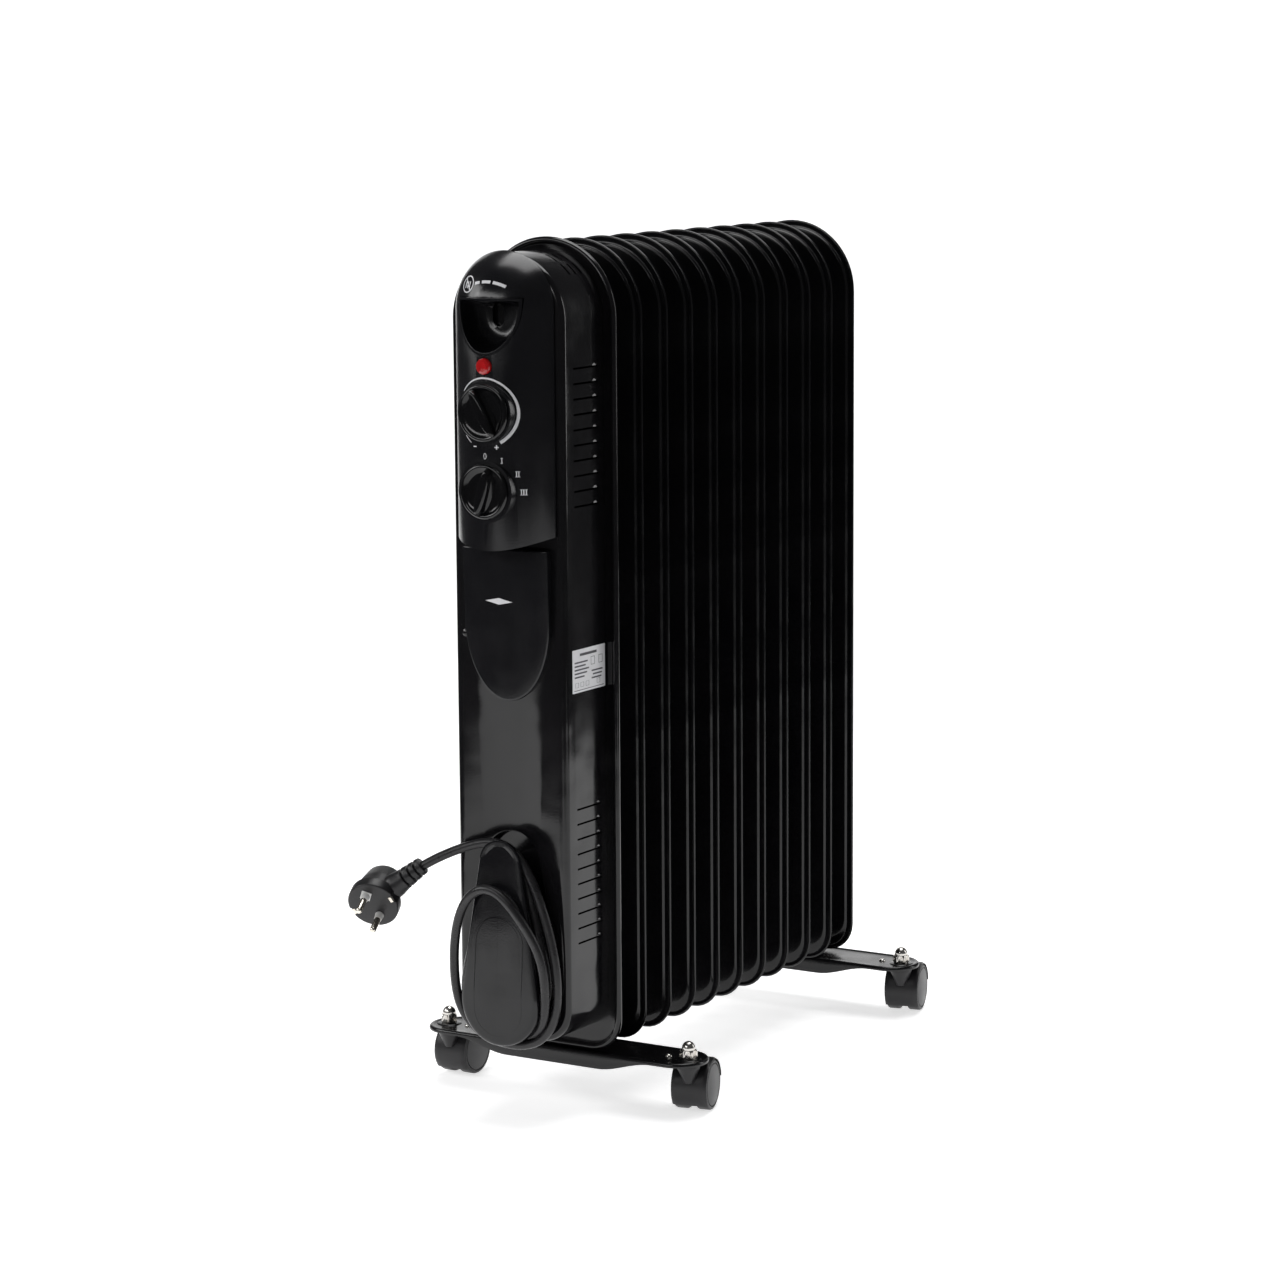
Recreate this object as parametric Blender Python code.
"""Oil filled radiator heater: eleven pressed fins, a control housing, a cord winder and four castors.

Metres, +Z up. +X is the housing's right side seen from the front, -Y is the front. The origin is on
the floor, under the middle of the object without its cord. Fin 1 is the front fin.
"""

from math import atan2, cos, pi, radians, sin, sqrt

import bmesh
import bpy
from mathutils import Matrix, Vector

GAP = 0.0003  # clearance between pieces that touch
CUT = 0.004  # how far a cutter runs past the face that it opens

# Fin pack
FIN_COUNT = 11
FIN_PITCH = 0.036
FIN_1_Y = -0.1480
FIN_HALF_WIDTH = 0.0555
FIN_THICKNESS = 0.0013
FIN_TOP = 0.6336
FIN_BOTTOM = 0.0430
FIN_CORNER = 0.0235
CHANNEL_HALF_WIDTH = 0.020
CHANNEL_THICKNESS = 0.010
CHANNEL_LOW = 0.078
CHANNEL_HIGH = 0.598
HEADER_RADIUS = 0.013
HEADER_BORE = 0.0085
HEADER_LOW = 0.100
HEADER_HIGH = 0.573

# Front end plate
END_PLATE_FRONT = FIN_1_Y - 0.0055
END_PLATE_BACK = FIN_1_Y - 0.0010
END_PLATE_HALF_WIDTH = 0.0575
END_PLATE_TOP = 0.6360

# Control housing, the box in front of the end plate
HOUSING_FRONT = FIN_1_Y - 0.0575
HOUSING_BACK = END_PLATE_FRONT - GAP
HOUSING_HALF_WIDTH = 0.0465
HOUSING_TOP = 0.626
HOUSING_BOTTOM = 0.060
HOUSING_CORNER = 0.025
HOUSING_EDGE = 0.004
HOUSING_WALL = 0.002
SLOT_COUNT = 10
SLOT_PITCH = 0.01087
SLOT_HEIGHT = 0.0022
SLOT_FRONT = FIN_1_Y - 0.044
SLOT_BACK = FIN_1_Y - 0.011
UPPER_SLOT = 0.448
LOWER_SLOT = 0.1325
TOP_SLOT_ROWS = 3
TOP_SLOT_PITCH = 0.0075
TOP_SLOT_X = (-0.0225, -0.0075, 0.0075, 0.0225)
TOP_SLOT_LENGTH = 0.0115

# Control panel, a half cylinder under a quarter sphere
PANEL_AXIS_Y = FIN_1_Y - 0.043
PANEL_RADIUS = 0.0434
PANEL_HALF_WIDTH = 0.0407
PANEL_DOME_Z = 0.588
PANEL_BOTTOM_MIDDLE = 0.419
PANEL_BOTTOM_SIDE = 0.428
PANEL_WALL = 0.0025
SEAT_FRONT = FIN_1_Y - 0.0870
SEAT_RADIUS = 0.0222

# Hand grip
GRIP_TOP = 0.595
GRIP_HALF_WIDTH = 0.0253
GRIP_HEIGHT = 0.037
GRIP_WALL = 0.0018
GRIP_HOLE = (-0.0040, 0.5838)
GRIP_HOLE_HALF = (0.0048, 0.0088)

# Badge shield
SHIELD_HALF_WIDTH = 0.0356
SHIELD_TOP = 0.4180
SHIELD_SHOULDER = 0.366
SHIELD_TIP = 0.308
SHIELD_DEPTH_TOP = 0.0065
SHIELD_DEPTH_TIP = 0.0024

# Lamp, thermostat and switch
LAMP_Z = 0.549
LAMP_RADIUS = 0.0058
THERMOSTAT_Z = 0.5165
THERMOSTAT_RADIUS = 0.0204
THERMOSTAT_TILT = radians(-29)
SWITCH_Z = 0.461
SWITCH_RADIUS = 0.0195
SWITCH_TILT = radians(16)
KNOB_SKIRT = 0.0026
KNOB_HEIGHT = 0.0066
KNOB_BAR_WIDTH = 0.0090
SHAFT_RADIUS = 0.0030

# Cord winder
CAP_BACK = FIN_1_Y - 0.0723
CAP_FRONT = FIN_1_Y - 0.0800
CAP_LOW_Z, CAP_LOW_RADIUS = 0.0915, 0.0333
CAP_HIGH_Z, CAP_HIGH_RADIUS = 0.192, 0.017
CORE_LOW_Z, CORE_LOW_RADIUS = 0.104, 0.025
CORE_HIGH_Z, CORE_HIGH_RADIUS = 0.184, 0.0065
RECESS_LOW_Z, RECESS_LOW_RADIUS = 0.106, 0.0385
RECESS_HIGH_Z, RECESS_HIGH_RADIUS = 0.190, 0.0225
RECESS_FLOOR = FIN_1_Y - 0.0475

# Mains cord
CORD_RADIUS = 0.0034
COIL_LOW_Z, COIL_LOW_RADIUS = 0.100, 0.0455
COIL_HIGH_Z, COIL_HIGH_RADIUS = 0.190, 0.0135
COIL_WIDTH = 0.0138
COIL_BACK = HOUSING_FRONT - 0.0005
COIL_FRONT = CAP_BACK + 0.0005
CORD_POINT_SPACING = 0.014
GLAND_X, GLAND_Y = -0.0300, FIN_1_Y - 0.0528
GLAND_TOP = 0.1260
GLAND_BOTTOM = 0.0940

# The turn that slips over the cap's neck, from its lower right side over the neck to the lower left.
# Each point is x, distance in front of fin 1, z.
FRONT_LOOP = [
    (0.0372, 0.0756, 0.0860),
    (0.0384, 0.0756, 0.0980),
    (0.0388, 0.0757, 0.1130),
    (0.0366, 0.0766, 0.1290),
    (0.0310, 0.0800, 0.1420),
    (0.0235, 0.0838, 0.1540),
    (0.0130, 0.0842, 0.1675),
    (0.0040, 0.0842, 0.1755),
    (-0.0070, 0.0842, 0.1780),
    (-0.0190, 0.0838, 0.1725),
    (-0.0296, 0.0805, 0.1610),
    (-0.0362, 0.0775, 0.1460),
    (-0.0396, 0.0760, 0.1300),
    (-0.0404, 0.0756, 0.1130),
    (-0.0390, 0.0756, 0.0980),
    (-0.0372, 0.0756, 0.0860),
]
# The free end, from the top of the winding to the plug's strain relief.
TAIL = [
    (0.0000, 0.0680, 0.2078),
    (-0.0120, 0.0685, 0.2068),
    (-0.0250, 0.0705, 0.2035),
    (-0.0380, 0.0745, 0.1985),
    (-0.0500, 0.0800, 0.1925),
    (-0.0592, 0.0855, 0.1868),
]

# Plug: where the middle of its face is, which way its pins point, and the way between its pins
PLUG_FACE = Vector((-0.0900, FIN_1_Y - 0.1050, 0.1575))
PLUG_AIM = Vector((0.246, -0.860, -0.449)).normalized()
PLUG_SIDE = Vector((0.262, 0.504, -0.821)).normalized()
PLUG_RADIUS = 0.0185
PLUG_DEPTH = 0.0300
PLUG_SLEEVE_RADIUS = 0.0062
SLEEVE_GAP = 0.0018  # the tail meets the sleeve at a slight angle
PIN_RADIUS = 0.0024
PIN_LENGTH = 0.0190
PIN_HALF_SPACING = 0.0095

# Feet
FOOT_Y = (FIN_1_Y + 0.0129, FIN_1_Y + 0.3498)
FOOT_HALF_LENGTH = 0.1185
FOOT_HALF_WIDTH = 0.022
FOOT_TOP = 0.0425
FOOT_SHEET = 0.0015
FOOT_RIM = 0.0033
FOOT_SKIRT_HALF_LENGTH = 0.062
FOOT_SKIRT = 0.012
STEM_X = 0.1048
STEM_RADIUS = 0.0029
BORE_RADIUS = 0.0034

# Castors
WHEEL_RADIUS = 0.0185
WHEEL_INNER = 0.0038
WHEEL_OUTER = 0.0135
WHEEL_BORE = 0.0026
AXLE_RADIUS = 0.0021
CASTOR_TRAIL = 0.0185
HOOD_RADIUS = 0.0203
HOOD_INNER = 0.0190
HOOD_WEB = 0.0034
HOOD_LIP_Z = 0.0205
HOOD_SKIRT_Z = 0.0058
BOSS_RADIUS = 0.0088
BOSS_TIP_RADIUS = 0.0035
BOSS_TIP_Z = 0.0240
NUT_BASE = FOOT_TOP + GAP
NUT_RADIUS = 0.0066
NUT_HEX_HEIGHT = 0.0062
NUT_TOP = 0.0554

# Which way each castor trails, as a turn of its trailing side from straight back, counterclockwise
# seen from above.
CASTOR_TURNS = {"fr": radians(13.3), "fl": radians(1.0), "rr": radians(13.3), "rl": radians(-8.0)}


# ---------------------------------------------------------------- materials


def material(name, colour, roughness, metallic=0.0):
    """A Principled BSDF of one colour, made once for each name."""
    found = bpy.data.materials.get(name)
    if found:
        return found
    made = bpy.data.materials.new(name)
    made.use_nodes = True
    shader = made.node_tree.nodes["Principled BSDF"]
    shader.inputs["Base Color"].default_value = (*colour, 1)
    shader.inputs["Roughness"].default_value = roughness
    shader.inputs["Metallic"].default_value = metallic
    return made


def fin_paint():
    return material("fin_paint", (0.010, 0.010, 0.011), 0.22)


def housing_paint():
    return material("housing_paint", (0.011, 0.011, 0.012), 0.18)


def panel_plastic():
    return material("panel_plastic", (0.012, 0.012, 0.013), 0.22)


def knob_plastic():
    return material("knob_plastic", (0.010, 0.010, 0.011), 0.15)


def lamp_red():
    return material("lamp_red", (0.55, 0.012, 0.012), 0.12)


def castor_plastic():
    return material("castor_plastic", (0.020, 0.020, 0.022), 0.42)


def foot_paint():
    return material("foot_paint", (0.010, 0.010, 0.011), 0.25)


def cord_rubber():
    return material("cord_rubber", (0.020, 0.020, 0.022), 0.45)


def nut_chrome():
    return material("nut_chrome", (0.80, 0.80, 0.80), 0.10, 1.0)


def pin_nickel():
    return material("pin_nickel", (0.72, 0.68, 0.60), 0.22, 1.0)


def plain_steel():
    return material("plain_steel", (0.45, 0.45, 0.46), 0.35, 1.0)


# ---------------------------------------------------------------- outlines


def arc(centre, radius, start, end, count):
    """count + 1 points of an arc in a plane, from one angle to another."""
    points = []
    for i in range(count + 1):
        angle = start + (end - start) * i / count
        points.append((centre[0] + radius * cos(angle), centre[1] + radius * sin(angle)))
    return points


def upright_outline(half_width, bottom, top, corner, top_steps=12, corner_steps=3):
    """A tall plate's outline: a half round top and two rounded bottom corners, as (x, z)."""
    shoulder = top - half_width
    inner = half_width - corner
    points = arc((0, shoulder), half_width, 0, pi, top_steps)
    points += arc((-inner, bottom + corner), corner, pi, 1.5 * pi, corner_steps)
    points += arc((inner, bottom + corner), corner, 1.5 * pi, 2 * pi, corner_steps)
    return points


def egg_outline(low_z, low_radius, high_z, high_radius, low_steps=16, high_steps=8, grow=0.0):
    """The hull of a large circle under a small one, as (x, z)."""
    lean = atan2(low_radius - high_radius, sqrt((high_z - low_z) ** 2 - (low_radius - high_radius) ** 2))
    points = arc((0, high_z), high_radius + grow, lean, pi - lean, high_steps)
    points += arc((0, low_z), low_radius + grow, pi - lean, 2 * pi + lean, low_steps)
    return points


def strip_outline(half_length, half_width, steps=10):
    """A strip with round ends, as (x, y)."""
    reach = half_length - half_width
    points = arc((reach, 0), half_width, -pi / 2, pi / 2, steps)
    points += arc((-reach, 0), half_width, pi / 2, 1.5 * pi, steps)
    return points


# ---------------------------------------------------------------- meshes


def finished(shape, name, finish, smooth=35):
    """Turns a bmesh into a linked object with its faces pointing out."""
    bmesh.ops.recalc_face_normals(shape, faces=shape.faces)
    mesh = bpy.data.meshes.new(name)
    shape.to_mesh(mesh)
    shape.free()
    obj = bpy.data.objects.new(name, mesh)
    bpy.context.scene.collection.objects.link(obj)
    obj.data.materials.append(finish)
    shade(obj, smooth)
    return obj


def shade(obj, angle):
    obj.data.shade_smooth()
    obj.data.set_sharp_from_angle(angle=radians(angle))


def lofted(rings, name, finish, smooth=35):
    """A closed body through rings of equal point count, capped at both ends."""
    shape = bmesh.new()
    levels = [[shape.verts.new(point) for point in ring] for ring in rings]
    for low, high in zip(levels, levels[1:]):
        for i in range(len(low)):
            j = (i + 1) % len(low)
            shape.faces.new((low[i], low[j], high[j], high[i]))
    shape.faces.new(levels[0])
    shape.faces.new(levels[-1])
    return finished(shape, name, finish, smooth)


def prism(outline, front, back, name, finish, smooth=35):
    """An (x, z) outline extruded along Y."""
    rings = [[(x, y, z) for x, z in outline] for y in (front, back)]
    return lofted(rings, name, finish, smooth)


def slab(outline, low, high, name, finish, centre_y=0.0):
    """An (x, y) outline extruded along Z."""
    rings = [[(x, y + centre_y, z) for x, y in outline] for z in (low, high)]
    return lofted(rings, name, finish)


def block(low, high, name, finish):
    """A box between two corners."""
    outline = [(low[0], low[1]), (high[0], low[1]), (high[0], high[1]), (low[0], high[1])]
    return slab(outline, low[2], high[2], name, finish)


def turned(profile, steps, name, finish, smooth=35):
    """A body turned round Z from (radius, height) points that start and end on the axis."""
    shape = bmesh.new()
    levels = []
    for radius, height in profile:
        if radius == 0:
            levels.append([shape.verts.new((0, 0, height))])
            continue
        ring = arc((0, 0), radius, 0, 2 * pi, steps)[:-1]
        levels.append([shape.verts.new((x, y, height)) for x, y in ring])
    for low, high in zip(levels, levels[1:]):
        for i in range(steps):
            j = (i + 1) % steps
            corners = [low[i % len(low)], low[j % len(low)], high[j % len(high)], high[i % len(high)]]
            distinct = [corner for n, corner in enumerate(corners) if corner not in corners[:n]]
            shape.faces.new(distinct)
    return finished(shape, name, finish, smooth)


def rod(radius, length, steps, name, finish):
    """A cylinder round Z from height 0 up."""
    return turned([(0, 0), (radius, 0), (radius, length), (0, length)], steps, name, finish)


def placed(obj, at, aim="Z", turn=0.0):
    """Puts a shape that was made round Z at a place, with its Z turned to -Y, +Y, X or left alone."""
    facing = {
        "Z": Matrix.Identity(4),
        "-Y": Matrix.Rotation(pi / 2, 4, "X"),
        "+Y": Matrix.Rotation(-pi / 2, 4, "X"),
        "X": Matrix.Rotation(pi / 2, 4, "Y"),
    }[aim]
    obj.matrix_world = Matrix.Translation(at) @ Matrix.Rotation(turn, 4, "Z") @ facing
    return obj


def combined(obj, other, operation):
    """Applies a Boolean with another object, removes that object and leaves one mesh."""
    bpy.context.view_layer.update()
    modifier = obj.modifiers.new(operation.lower(), "BOOLEAN")
    modifier.operation = operation
    modifier.solver = "EXACT"
    modifier.object = other
    graph = bpy.context.evaluated_depsgraph_get()
    mesh = bpy.data.meshes.new_from_object(obj.evaluated_get(graph))
    obj.modifiers.clear()
    old = obj.data
    mesh.name = old.name
    obj.data = mesh
    bpy.data.meshes.remove(old)
    bpy.data.objects.remove(other)
    return obj


def joined_to(obj, *others):
    for other in others:
        combined(obj, other, "UNION")
    return obj


def cut_by(obj, *others):
    for other in others:
        combined(obj, other, "DIFFERENCE")
    return obj


def several(objects, name):
    """Joins shapes that don't touch into one object, for use as a cutter."""
    shape = bmesh.new()
    for obj in objects:
        bpy.context.view_layer.update()
        mesh = obj.data.copy()
        mesh.transform(obj.matrix_world)
        shape.from_mesh(mesh)
        bpy.data.meshes.remove(mesh)
        bpy.data.objects.remove(obj)
    mesh = bpy.data.meshes.new(name)
    shape.to_mesh(mesh)
    shape.free()
    obj = bpy.data.objects.new(name, mesh)
    bpy.context.scene.collection.objects.link(obj)
    return obj


# ---------------------------------------------------------------- fins


def header_boss(z, front, back, name):
    boss = rod(HEADER_RADIUS, back - front, 10, name, fin_paint())
    return placed(boss, (0, front, z), "+Y")


def fin(number):
    """One pressed fin: a thin plate, its thick oil channel, and its share of both headers."""
    y = FIN_1_Y + (number - 1) * FIN_PITCH
    name = f"fin_{number:02d}"
    outline = upright_outline(FIN_HALF_WIDTH, FIN_BOTTOM, FIN_TOP, FIN_CORNER)
    half = FIN_THICKNESS / 2
    plate = prism(outline, y - half, y + half, name, fin_paint())
    low, high = CHANNEL_LOW + CHANNEL_HALF_WIDTH, CHANNEL_HIGH - CHANNEL_HALF_WIDTH
    channel_outline = arc((0, high), CHANNEL_HALF_WIDTH, 0, pi, 6)
    channel_outline += arc((0, low), CHANNEL_HALF_WIDTH, pi, 2 * pi, 6)
    # The front fin's channel stays behind the end plate.
    channel_front = y - (CHANNEL_THICKNESS / 2 if number > 1 else half / 2)
    channel_back = y + CHANNEL_THICKNESS / 2
    joined_to(plate, prism(channel_outline, channel_front, channel_back, "channel", fin_paint()))
    reach = FIN_PITCH / 2 - GAP / 2
    front = y - (reach if number > 1 else half / 2)
    back = y + (reach if number < FIN_COUNT else CHANNEL_THICKNESS / 2 + 0.001)
    for z in (HEADER_LOW, HEADER_HIGH):
        joined_to(plate, header_boss(z, front, back, "boss"))
    # The last fin closes the lower header, which holds the heating element.
    bore_back = back + CUT if number < FIN_COUNT else y
    bore = rod(HEADER_BORE, bore_back - front + CUT, 8, "bore", fin_paint())
    cut_by(plate, placed(bore, (0, front - CUT, HEADER_LOW), "+Y"))
    shade(plate, 35)
    return plate


def fin_pack():
    for number in range(1, FIN_COUNT + 1):
        fin(number)
    last = FIN_1_Y + (FIN_COUNT - 1) * FIN_PITCH + CHANNEL_THICKNESS / 2 + 0.001
    profile = [(0, 0), (0.0075, 0), (0.0075, 0.004), (0.0058, 0.0055), (0, 0.0055)]
    plug = turned(profile, 6, "filler_plug", plain_steel())
    placed(plug, (0, last + GAP, HEADER_HIGH), "+Y")
    front = END_PLATE_FRONT - 0.012
    length = last - CHANNEL_THICKNESS - 0.008 - front
    profile = [
        (0, 0), (0.0045, 0), (0.0045, 0.0077), (0.0125, 0.0077), (0.0125, 0.0117),
        (0.0065, 0.0117), (0.0065, length - 0.003), (0.0040, length), (0, length),
    ]
    element = turned(profile, 12, "heating_element", plain_steel())
    placed(element, (0, front, HEADER_LOW), "+Y")


def front_end_plate():
    outline = upright_outline(END_PLATE_HALF_WIDTH, FIN_BOTTOM, END_PLATE_TOP, FIN_CORNER + 0.002, 20, 6)
    plate = prism(outline, END_PLATE_FRONT, END_PLATE_BACK, "front_end_plate", housing_paint())
    hole = rod(HEADER_BORE, 0.02, 12, "hole", housing_paint())
    cut_by(plate, placed(hole, (0, END_PLATE_FRONT - 0.01, HEADER_LOW), "+Y"))
    shade(plate, 35)


# ---------------------------------------------------------------- housing


def side_slots(first_z):
    """Ten slots through both side walls."""
    slots = []
    for side in (-1, 1):
        for i in range(SLOT_COUNT):
            z = first_z + i * SLOT_PITCH
            inner, outer = HOUSING_HALF_WIDTH - HOUSING_WALL - 0.001, HOUSING_HALF_WIDTH + CUT
            x = sorted((side * inner, side * outer))
            low = (x[0], SLOT_FRONT, z - SLOT_HEIGHT / 2)
            slots.append(block(low, (x[1], SLOT_BACK, z + SLOT_HEIGHT / 2), "slot", housing_paint()))
    return slots


def top_slots():
    """Short slots through the arched top, in rows from front to back."""
    slots = []
    for row in range(TOP_SLOT_ROWS):
        y = FIN_1_Y - 0.030 + row * TOP_SLOT_PITCH
        for x in TOP_SLOT_X:
            low = (x - TOP_SLOT_LENGTH / 2, y, HOUSING_TOP - 0.020)
            high = (x + TOP_SLOT_LENGTH / 2, y + 0.002, HOUSING_TOP + CUT)
            slots.append(block(low, high, "slot", housing_paint()))
    return slots


def control_housing():
    rings = []
    for y, inset in (
        (HOUSING_BACK, 0.0),
        (HOUSING_FRONT + HOUSING_EDGE, 0.0),
        (HOUSING_FRONT + 0.3 * HOUSING_EDGE, 0.3 * HOUSING_EDGE),
        (HOUSING_FRONT, HOUSING_EDGE),
    ):
        outline = upright_outline(
            HOUSING_HALF_WIDTH - inset,
            HOUSING_BOTTOM + inset,
            HOUSING_TOP - inset,
            HOUSING_CORNER - inset,
            18,
            5,
        )
        rings.append([(x, y, z) for x, z in outline])
    housing = lofted(rings, "control_housing", housing_paint())
    inner = upright_outline(
        HOUSING_HALF_WIDTH - HOUSING_WALL,
        HOUSING_BOTTOM + HOUSING_WALL,
        HOUSING_TOP - HOUSING_WALL,
        HOUSING_CORNER - HOUSING_WALL,
        18,
        5,
    )
    front = HOUSING_FRONT + HOUSING_EDGE + HOUSING_WALL
    cavity = prism(inner, front, HOUSING_BACK + CUT, "cavity", housing_paint())
    cut_by(housing, cavity)
    # The cord winder stands in a shallow recess, whose floor is a pan behind the front wall.
    pan = egg_outline(RECESS_LOW_Z, RECESS_LOW_RADIUS, RECESS_HIGH_Z, RECESS_HIGH_RADIUS, grow=0.002)
    joined_to(housing, prism(pan, front - 0.002, RECESS_FLOOR + 0.002, "pan", housing_paint()))
    recess = egg_outline(RECESS_LOW_Z, RECESS_LOW_RADIUS, RECESS_HIGH_Z, RECESS_HIGH_RADIUS)
    cut_by(housing, prism(recess, HOUSING_FRONT - CUT, RECESS_FLOOR, "recess", housing_paint()))
    # The front wall is open behind the control panel, where the switches sit.
    window = block(
        (-0.030, HOUSING_FRONT - CUT, 0.440), (0.030, front + CUT, 0.585), "window", housing_paint()
    )
    cut_by(housing, window)
    cut_by(housing, several(side_slots(UPPER_SLOT) + side_slots(LOWER_SLOT) + top_slots(), "slots"))
    shade(housing, 35)


# ---------------------------------------------------------------- control panel


def capsule_surface(radius, name):
    """The panel's outer skin: a half cylinder along Z that ends in a quarter sphere, as open faces."""
    shape = bmesh.new()
    widest = atan2(PANEL_HALF_WIDTH, sqrt(PANEL_RADIUS**2 - PANEL_HALF_WIDTH**2))
    rings, steps = 7, 12

    def point(lean, turn):
        x = radius * sin(lean) * cos(turn)
        z = radius * sin(lean) * sin(turn)
        return (x, PANEL_AXIS_Y - radius * cos(lean), PANEL_DOME_Z + z)

    crest = shape.verts.new(point(0, 0))
    dome = []
    for i in range(1, rings + 1):
        lean = widest * i / rings
        dome.append([shape.verts.new(point(lean, pi * j / steps)) for j in range(steps + 1)])
    for j in range(steps):
        shape.faces.new((crest, dome[0][j], dome[0][j + 1]))
    for inner, outer in zip(dome, dome[1:]):
        for j in range(steps):
            shape.faces.new((inner[j], outer[j], outer[j + 1], inner[j + 1]))
    top_row = [ring[0] for ring in reversed(dome)] + [crest] + [ring[-1] for ring in dome]
    bottom_row = []
    for corner in top_row:
        share = (corner.co.x / PANEL_HALF_WIDTH) ** 2
        z = PANEL_BOTTOM_MIDDLE + (PANEL_BOTTOM_SIDE - PANEL_BOTTOM_MIDDLE) * share
        bottom_row.append(shape.verts.new((corner.co.x, corner.co.y, z)))
    for i in range(len(top_row) - 1):
        shape.faces.new((top_row[i], top_row[i + 1], bottom_row[i + 1], bottom_row[i]))
    return finished(shape, name, panel_plastic())


def grip_outline(scale, grow=0.0, steps=14):
    """The hand grip's straight top and half elliptical bottom, as (x, z), shrunk towards its middle."""
    points = []
    for i in range(steps + 1):
        angle = pi + pi * i / steps
        x = (GRIP_HALF_WIDTH + grow) * scale * cos(angle)
        z = GRIP_TOP - (1 - scale) * 0.012 + (GRIP_HEIGHT + grow) * scale * sin(angle)
        points.append((x, z))
    points.append(((GRIP_HALF_WIDTH + grow) * scale, GRIP_TOP + grow - (1 - scale) * 0.012))
    points.append((-(GRIP_HALF_WIDTH + grow) * scale, GRIP_TOP + grow - (1 - scale) * 0.012))
    return points


def grip_scoop(grow, front, name):
    """The scooped hollow of the grip, as a closed body, made larger by grow."""
    rings = []
    for y, scale in ((front, 1.0), (-0.078, 0.97), (-0.069, 0.86), (-0.0635, 0.68), (-0.0610, 0.45)):
        depth = FIN_1_Y + y + grow
        rings.append([(x, depth, z) for x, z in grip_outline(scale, grow)])
    return lofted(rings, name, panel_plastic())


def control_panel():
    panel = capsule_surface(PANEL_RADIUS, "control_panel")
    if panel.data.polygons[0].normal.y > 0:
        panel.data.flip_normals()
    bpy.context.view_layer.update()
    shell = panel.modifiers.new("wall", "SOLIDIFY")
    shell.thickness = PANEL_WALL
    shell.offset = -1
    # Its rim ends in a plane just in front of the housing.
    low = (-0.06, HOUSING_FRONT - GAP, PANEL_BOTTOM_MIDDLE - 0.02)
    trim = block(low, (0.06, FIN_1_Y, HOUSING_TOP + 0.02), "trim", panel_plastic())
    cut_by(panel, trim)
    for z in (THERMOSTAT_Z, SWITCH_Z):
        seat = rod(SEAT_RADIUS, 0.0072, 28, "seat", panel_plastic())
        joined_to(panel, placed(seat, (0, SEAT_FRONT + 0.0072, z), "-Y"))
        shaft = rod(SHAFT_RADIUS + 0.0005, 0.02, 12, "hole", panel_plastic())
        cut_by(panel, placed(shaft, (0, SEAT_FRONT + 0.014, z), "-Y"))
    lamp = rod(LAMP_RADIUS + GAP, 0.02, 16, "hole", panel_plastic())
    outline = grip_outline(1.0, GRIP_WALL + GAP)
    opening = prism(outline, FIN_1_Y - 0.095, FIN_1_Y - 0.0585, "hole", panel_plastic())
    cut_by(panel, placed(lamp, (0, SEAT_FRONT + 0.014, LAMP_Z), "-Y"), opening)
    shade(panel, 35)


def handle_bowl():
    """The cup behind the grip opening, its rim flush with the panel."""
    bowl = grip_scoop(GRIP_WALL, -0.092, "handle_bowl")
    skin = []
    for i in range(21):
        lean = radians(-80 + 8 * i)
        skin.append((PANEL_RADIUS * sin(lean), PANEL_AXIS_Y - PANEL_RADIUS * cos(lean)))
    outline = skin + [(0.05, FIN_1_Y - 0.03), (-0.05, FIN_1_Y - 0.03)]
    envelope = slab(outline, 0.54, PANEL_DOME_Z + 0.02, "envelope", panel_plastic())
    combined(bowl, envelope, "INTERSECT")
    cut_by(bowl, grip_scoop(0.0, -0.100, "scoop"))
    x, z = GRIP_HOLE
    half_x, half_z = GRIP_HOLE_HALF
    reach = half_z - half_x
    outline = arc((x, z + reach), half_x, 0, pi, 6) + arc((x, z - reach), half_x, pi, 2 * pi, 6)
    cut_by(bowl, prism(outline, FIN_1_Y - 0.076, FIN_1_Y - 0.052, "hole", panel_plastic()))
    shade(bowl, 35)


def badge_shield():
    """A shield-shaped badge panel that gets thinner towards its rounded tip."""
    outline = [(SHIELD_HALF_WIDTH, SHIELD_TOP), (-SHIELD_HALF_WIDTH, SHIELD_TOP)]
    height = SHIELD_SHOULDER - SHIELD_TIP
    for i in range(13):
        angle = pi + pi * i / 12
        outline.append((SHIELD_HALF_WIDTH * cos(angle), SHIELD_SHOULDER + height * sin(angle)))
    front = []
    for x, z in outline:
        share = (z - SHIELD_TIP) / (SHIELD_TOP - SHIELD_TIP)
        depth = SHIELD_DEPTH_TIP + (SHIELD_DEPTH_TOP - SHIELD_DEPTH_TIP) * share
        front.append((x, HOUSING_FRONT - depth, z))
    back = [(x, HOUSING_FRONT - GAP, z) for x, z in outline]
    lofted([front, back], "badge_shield", housing_paint())


# ---------------------------------------------------------------- lamp, thermostat and switch


def pilot_lamp():
    profile = [(0, 0), (LAMP_RADIUS, 0), (LAMP_RADIUS, 0.0085)]
    for angle in (30, 55, 75):
        profile.append((LAMP_RADIUS * cos(radians(angle)), 0.0085 + 0.0025 * sin(radians(angle))))
    profile.append((0, 0.011))
    lens = turned(profile, 16, "pilot_lamp_lens", lamp_red())
    placed(lens, (0, FIN_1_Y - 0.0788, LAMP_Z), "-Y")


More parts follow.
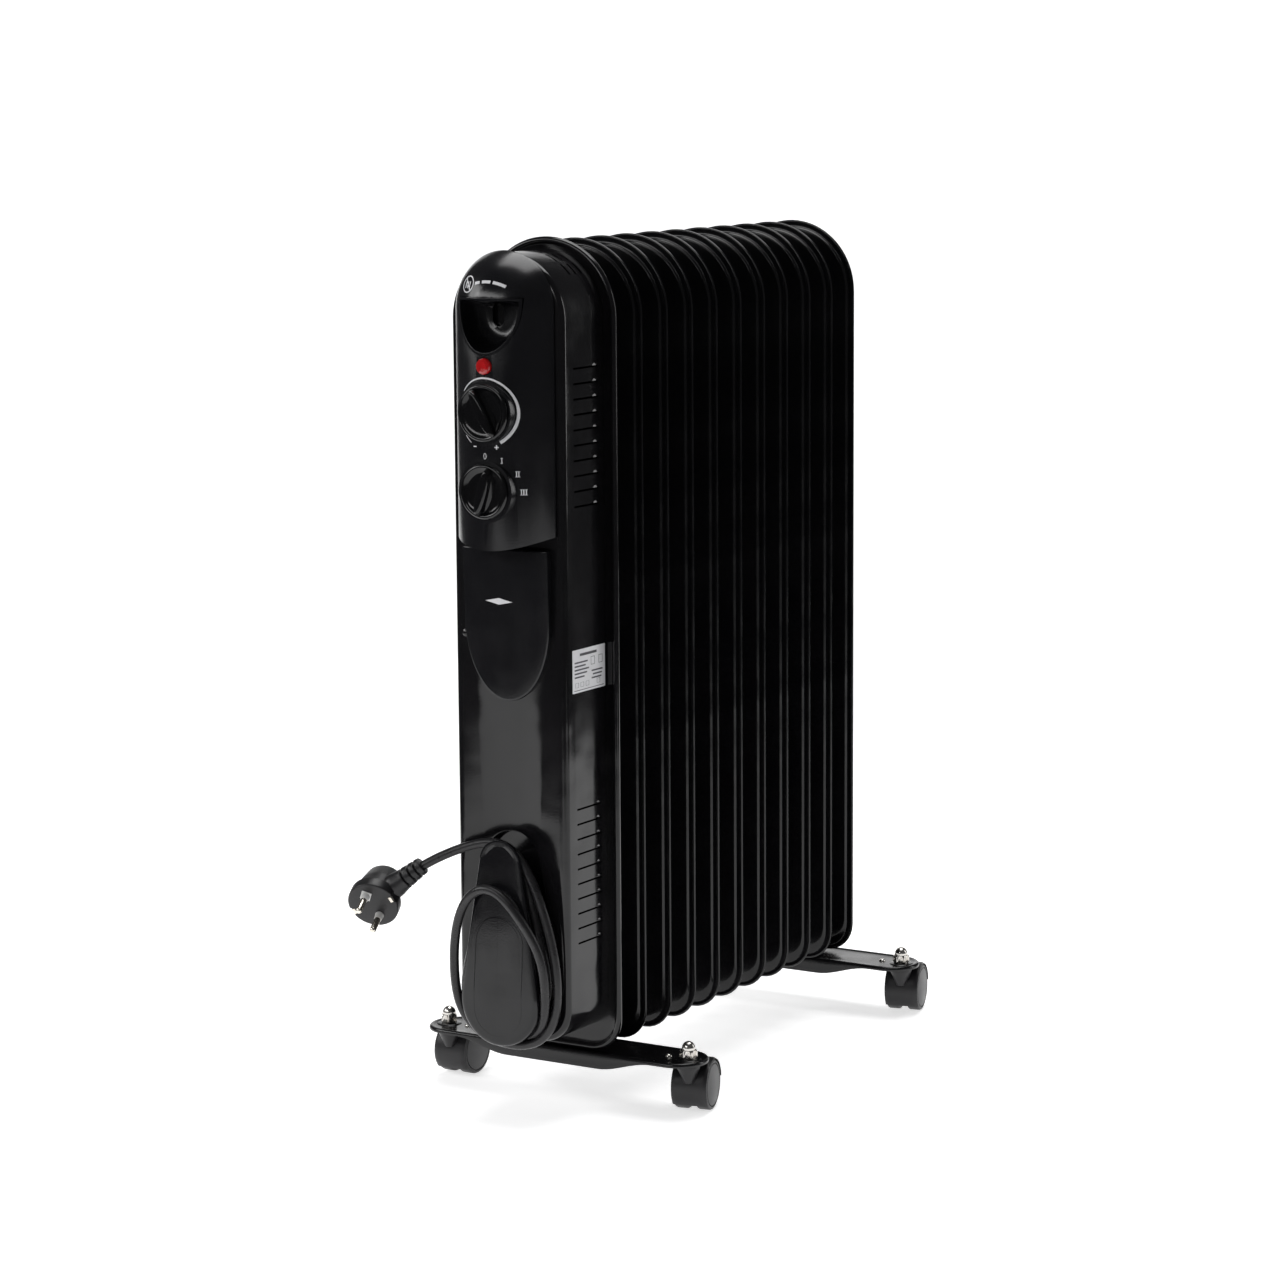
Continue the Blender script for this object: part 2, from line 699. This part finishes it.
def knob(name, radius, z, tilt):
    """A round knob with a grip bar across its face, and its origin on its shaft's axis."""
    edge = 0.0010
    base = [(0, 0), (radius, 0), (radius, KNOB_SKIRT - edge), (radius - edge, KNOB_SKIRT), (0, KNOB_SKIRT)]
    made = turned(base, 28, name, knob_plastic())
    half = KNOB_BAR_WIDTH / 2
    reach = radius - 0.0018
    rings = []
    for height, inset in ((0.001, 0.0), (KNOB_HEIGHT - 0.0015, 0.0), (KNOB_HEIGHT, 0.0015)):
        across, along = half - inset, reach - inset
        side = sqrt(reach**2 - half**2) - inset
        ends = [(across, -side), (across, side), (0, along), (-across, side), (-across, -side), (0, -along)]
        rings.append([(x, y, height) for x, y in ends])
    joined_to(made, lofted(rings, "bar", knob_plastic()))
    bore = rod(SHAFT_RADIUS + GAP, 0.0056, 12, "bore", knob_plastic())
    cut_by(made, placed(bore, (0, 0, -0.001)))
    shade(made, 35)
    turn = Matrix.Rotation(tilt, 4, "Y") @ Matrix.Rotation(pi / 2, 4, "X")
    made.matrix_world = Matrix.Translation((0, SEAT_FRONT - GAP, z)) @ turn


def switch_works(kind, z, half_width, half_height):
    """The works behind the panel and the shaft that carries the knob."""
    front, back = FIN_1_Y - 0.0794, FIN_1_Y - 0.0590
    low, high = (-half_width, front, z - half_height), (half_width, back, z + half_height)
    works = block(low, high, f"{kind}_body", knob_plastic())
    bore = rod(SHAFT_RADIUS + GAP, 0.012, 12, "bore", knob_plastic())
    cut_by(works, placed(bore, (0, front - 0.002, z), "+Y"))
    shaft = rod(SHAFT_RADIUS, 0.0213, 12, f"{kind}_shaft", plain_steel())
    placed(shaft, (0, front + 0.0095, z), "-Y")


# ---------------------------------------------------------------- cord winder and cord


def cord_winder():
    rings = []
    for y, grow in (
        (CAP_BACK, 0.0),
        (CAP_FRONT + 0.004, 0.0),
        (CAP_FRONT + 0.0012, -0.0015),
        (CAP_FRONT, -0.0045),
    ):
        outline = egg_outline(CAP_LOW_Z, CAP_LOW_RADIUS, CAP_HIGH_Z, CAP_HIGH_RADIUS, 20, 10, grow)
        rings.append([(x, y, z) for x, z in outline])
    lofted(rings, "winder_cap", housing_paint())
    outline = egg_outline(CORE_LOW_Z, CORE_LOW_RADIUS, CORE_HIGH_Z, CORE_HIGH_RADIUS)
    prism(outline, CAP_BACK + GAP, RECESS_FLOOR - GAP, "winder_core", housing_paint())


def cord_gland():
    """A sleeve on a small block in the recess, which lets the cord out along the winding."""
    low = (GLAND_X - 0.0035, GLAND_Y - 0.004, GLAND_TOP - 0.004)
    high = (GLAND_X + 0.0055, RECESS_FLOOR - GAP, GLAND_TOP + 0.004)
    foot = block(low, high, "cord_gland", cord_rubber())
    length = GLAND_TOP - GLAND_BOTTOM
    profile = [(0, 0), (0.0038, 0), (0.0048, length), (0, length)]
    sleeve = turned(profile, 12, "sleeve", cord_rubber())
    joined_to(foot, placed(sleeve, (GLAND_X, GLAND_Y, GLAND_BOTTOM)))
    shade(foot, 35)


def smooth_route(points, spacing):
    """Points about one spacing apart along a smooth curve through hand-set points."""
    corners = [Vector((x, FIN_1_Y - forward, z)) for x, forward, z in points]
    padded = [2 * corners[0] - corners[1]] + corners + [2 * corners[-1] - corners[-2]]
    fine = []
    for a, b, c, d in zip(padded, padded[1:], padded[2:], padded[3:]):
        for step in range(12):
            t = step / 12
            bend = (-a + 3 * b - 3 * c + d) * t**3 + (2 * a - 5 * b + 4 * c - d) * t**2
            fine.append(0.5 * (bend + (c - a) * t + 2 * b))
    fine.append(corners[-1])
    lengths = [0.0]
    for a, b in zip(fine, fine[1:]):
        lengths.append(lengths[-1] + (b - a).length)
    count = max(3, round(lengths[-1] / spacing))
    route, index = [], 0
    for i in range(count + 1):
        target = lengths[-1] * i / count
        while index < len(fine) - 2 and lengths[index + 1] < target:
            index += 1
        share = (target - lengths[index]) / (lengths[index + 1] - lengths[index])
        route.append(fine[index].lerp(fine[index + 1], min(share, 1.0)))
    return route


def cord_tube(name, points):
    curve = bpy.data.curves.new(name, "CURVE")
    curve.dimensions = "3D"
    curve.bevel_depth = CORD_RADIUS
    curve.bevel_resolution = 2
    curve.use_fill_caps = True
    curve.resolution_u = 1
    route = smooth_route(points, CORD_POINT_SPACING)
    spline = curve.splines.new("POLY")
    spline.points.add(len(route) - 1)
    for point, place in zip(spline.points, route):
        point.co = (*place, 1)
    tube = bpy.data.objects.new(name, curve)
    bpy.context.scene.collection.objects.link(tube)
    curve.materials.append(cord_rubber())


def mains_cord():
    outer = egg_outline(COIL_LOW_Z, COIL_LOW_RADIUS, COIL_HIGH_Z, COIL_HIGH_RADIUS, 20, 10)
    # Tighter rings keep the same count of points, so that their faces pair up.
    inner = egg_outline(
        COIL_LOW_Z, COIL_LOW_RADIUS - COIL_WIDTH, COIL_HIGH_Z - 0.004, 0.0085, 20, 10
    )
    shape = bmesh.new()
    loops = []
    for outline, y in ((outer, COIL_FRONT), (outer, COIL_BACK), (inner, COIL_BACK), (inner, COIL_FRONT)):
        loops.append([shape.verts.new((x, y, z)) for x, z in outline])
    for low, high in zip(loops, loops[1:] + loops[:1]):
        for i in range(len(low)):
            j = (i + 1) % len(low)
            shape.faces.new((low[i], low[j], high[j], high[i]))
    finished(shape, "cord_winding", cord_rubber())
    cord_tube("cord_front_loop", FRONT_LOOP)
    cord_tube("cord_tail", TAIL)


def plug_matrix():
    """The plug's own frame: X between the pins, Y towards the cord, Z along the pins."""
    towards_cord = PLUG_AIM.cross(PLUG_SIDE).normalized()
    turn = Matrix((PLUG_SIDE, towards_cord, PLUG_AIM)).transposed().to_4x4()
    return Matrix.Translation(PLUG_FACE) @ turn


def mains_plug():
    frame = plug_matrix()
    profile = [
        (0, -PLUG_DEPTH),
        (0.0110, -PLUG_DEPTH),
        (0.0145, 0.0050 - PLUG_DEPTH),
        (PLUG_RADIUS, -0.0085),
        (PLUG_RADIUS, 0),
        (0, 0),
    ]
    body = turned(profile, 24, "plug_body", cord_rubber())
    # The strain relief starts inside the body and ends where the tail begins.
    tail_end = Vector((TAIL[-1][0], FIN_1_Y - TAIL[-1][1], TAIL[-1][2]))
    tail_before = Vector((TAIL[-2][0], FIN_1_Y - TAIL[-2][1], TAIL[-2][2]))
    end = frame.inverted() @ (tail_end + (tail_end - tail_before).normalized() * SLEEVE_GAP)
    start = Vector((0, 0.006, -0.0105))
    way = end - start
    reach = way.length
    profile = [(0, 0), (0.0085, 0), (PLUG_SLEEVE_RADIUS, reach * 0.55), (0.0052, reach), (0, reach)]
    sleeve = turned(profile, 14, "sleeve", cord_rubber())
    sleeve.matrix_world = Matrix.Translation(start) @ way.to_track_quat("Z", "Y").to_matrix().to_4x4()
    joined_to(body, sleeve)
    shade(body, 35)
    body.matrix_world = frame
    for letter, side in (("a", -1), ("b", 1)):
        length = PIN_LENGTH
        tip = [(PIN_RADIUS, length - 0.002), (PIN_RADIUS * 0.6, length - 0.0004), (0, length)]
        pin = turned([(0, GAP), (PIN_RADIUS, GAP)] + tip, 12, f"plug_pin_{letter}", pin_nickel())
        pin.matrix_world = frame @ Matrix.Translation((side * PIN_HALF_SPACING, 0, 0))


# ---------------------------------------------------------------- feet and castors


def foot(name, y):
    """A pressed strip with a rim round it and a deeper skirt along its middle."""
    top = FOOT_TOP
    outline = strip_outline(FOOT_HALF_LENGTH, FOOT_HALF_WIDTH)
    strip = slab(outline, top - FOOT_RIM, top, name, foot_paint(), y)
    reach, slope = FOOT_SKIRT_HALF_LENGTH, 0.010
    rings = []
    for side in (-1, 1):
        edge = y + side * FOOT_HALF_WIDTH
        rings.append(
            [
                (-reach, edge, top - FOOT_RIM + 0.001),
                (-reach + slope, edge, top - FOOT_SKIRT),
                (reach - slope, edge, top - FOOT_SKIRT),
                (reach, edge, top - FOOT_RIM + 0.001),
            ]
        )
    joined_to(strip, lofted(rings, "skirt", foot_paint()))
    inner = strip_outline(FOOT_HALF_LENGTH - FOOT_SHEET, FOOT_HALF_WIDTH - FOOT_SHEET)
    cut_by(strip, slab(inner, top - FOOT_SKIRT - CUT, top - FOOT_SHEET, "hollow", foot_paint(), y))
    holes = []
    for side in (-1, 1):
        hole = rod(BORE_RADIUS, 0.01, 12, "hole", foot_paint())
        holes.append(placed(hole, (side * STEM_X, y, top - 0.006)))
    cut_by(strip, several(holes, "holes"))
    shade(strip, 35)


def hood_mesh():
    """The castor's hood, with its trailing side at +Y and its stem on Z: a curved cover over both
    wheels, a web between them and a tapered boss round the stem."""
    axle = (0, CASTOR_TRAIL, WHEEL_RADIUS)
    hood = rod(HOOD_RADIUS, 2 * WHEEL_OUTER, 28, "castor_hood", castor_plastic())
    placed(hood, (-WHEEL_OUTER, axle[1], axle[2]), "X")
    boss_top = FOOT_TOP - FOOT_SHEET - GAP
    shape = [
        (0, BOSS_TIP_Z),
        (BOSS_TIP_RADIUS, BOSS_TIP_Z),
        (BOSS_RADIUS, boss_top - 0.005),
        (BOSS_RADIUS, boss_top),
        (0, boss_top),
    ]
    joined_to(hood, turned(shape, 12, "boss", castor_plastic()))
    width = WHEEL_OUTER - HOOD_WEB + CUT
    wells = []
    for x in (HOOD_WEB, -HOOD_WEB - width):
        well = rod(HOOD_INNER, width, 28, "well", castor_plastic())
        wells.append(placed(well, (x, axle[1], axle[2]), "X"))
    cut_by(hood, several(wells, "wells"))
    under = block((-0.02, -0.02, -0.02), (0.02, 0.06, HOOD_SKIRT_Z), "under", castor_plastic())
    low = (-0.02, CASTOR_TRAIL + 0.008, -0.01)
    behind = block(low, (0.02, 0.06, HOOD_LIP_Z), "behind", castor_plastic())
    cut_by(hood, under, behind)
    stem = rod(BORE_RADIUS, 0.02, 8, "bore", castor_plastic())
    pin = placed(rod(WHEEL_BORE, 0.04, 8, "bore", castor_plastic()), (-0.02, axle[1], axle[2]), "X")
    cut_by(hood, placed(stem, (0, 0, boss_top - 0.0115)), pin)
    return hood


def castor(place, x, y, turn):
    """One swivel castor with two wheels. The stem and its nut stay on the foot."""
    swivel = bpy.data.objects.new(f"castor_{place}_swivel", None)
    bpy.context.scene.collection.objects.link(swivel)
    swivel.matrix_world = Matrix.Translation((x, y, 0)) @ Matrix.Rotation(turn, 4, "Z")
    hood = hood_mesh()
    hood.name = f"castor_hood_{place}"
    bpy.context.view_layer.update()
    hood.data.transform(hood.matrix_world)
    hood.matrix_world = Matrix.Identity(4)
    shade(hood, 35)
    half = WHEEL_OUTER - 0.0023
    axle = rod(AXLE_RADIUS, 2 * half, 10, f"castor_axle_{place}", plain_steel())
    placed(axle, (-half, CASTOR_TRAIL, WHEEL_RADIUS), "X")
    riders = [hood, axle]
    for letter, side in (("a", -1), ("b", 1)):
        profile = [
            (0, WHEEL_OUTER - 0.0018), (WHEEL_BORE, WHEEL_OUTER - 0.0018), (WHEEL_BORE, WHEEL_INNER),
            (WHEEL_RADIUS, WHEEL_INNER), (WHEEL_RADIUS, WHEEL_OUTER - 0.0018),
            (WHEEL_RADIUS - 0.0018, WHEEL_OUTER), (0, WHEEL_OUTER),
        ]
        wheel = turned(profile, 20, f"wheel_{place}_{letter}", castor_plastic())
        outward = Matrix.Rotation(side * pi / 2, 4, "Y")
        wheel.matrix_world = Matrix.Translation((0, CASTOR_TRAIL, WHEEL_RADIUS)) @ outward
        riders.append(wheel)
    bpy.context.view_layer.update()
    for rider in riders:
        local = rider.matrix_world.copy()
        rider.parent = swivel
        rider.matrix_parent_inverse = Matrix.Identity(4)
        rider.matrix_basis = local
    stem_low = FOOT_TOP - FOOT_SHEET - GAP - 0.0110
    stem = rod(STEM_RADIUS, 0.0500 - stem_low, 12, f"castor_stem_{place}", plain_steel())
    placed(stem, (x, y, stem_low))
    acorn_nut(f"acorn_nut_{place}", x, y)


def acorn_nut(name, x, y):
    """A domed cap nut: a hexagon under a dome, bored from below."""
    nut = rod(NUT_RADIUS, NUT_HEX_HEIGHT, 6, name, nut_chrome())
    dome_height = NUT_TOP - NUT_BASE - NUT_HEX_HEIGHT
    profile = [(0, -0.002), (0.0052, -0.002)]
    for angle in (0, 30, 60):
        profile.append((0.0052 * cos(radians(angle)), dome_height * sin(radians(angle))))
    profile.append((0, dome_height))
    dome = turned(profile, 12, "dome", nut_chrome())
    joined_to(nut, placed(dome, (0, 0, NUT_HEX_HEIGHT)))
    bore = rod(BORE_RADIUS, 0.0100, 12, "bore", nut_chrome())
    cut_by(nut, placed(bore, (0, 0, -0.002)))
    shade(nut, 35)
    placed(nut, (x, y, NUT_BASE))


# ---------------------------------------------------------------- assembly


def main():
    for obj in list(bpy.data.objects):
        bpy.data.objects.remove(obj)
    fin_pack()
    front_end_plate()
    control_housing()
    control_panel()
    handle_bowl()
    badge_shield()
    pilot_lamp()
    knob("thermostat_knob", THERMOSTAT_RADIUS, THERMOSTAT_Z, THERMOSTAT_TILT)
    knob("switch_knob", SWITCH_RADIUS, SWITCH_Z, SWITCH_TILT)
    switch_works("thermostat", THERMOSTAT_Z, 0.014, 0.014)
    switch_works("switch", SWITCH_Z, 0.012, 0.016)
    cord_winder()
    cord_gland()
    mains_cord()
    mains_plug()
    for name, y in zip(("foot_front", "foot_rear"), FOOT_Y):
        foot(name, y)
    for place, turn in CASTOR_TURNS.items():
        x = STEM_X if place[1] == "r" else -STEM_X
        castor(place, x, FOOT_Y[0] if place[0] == "f" else FOOT_Y[1], turn)


main()
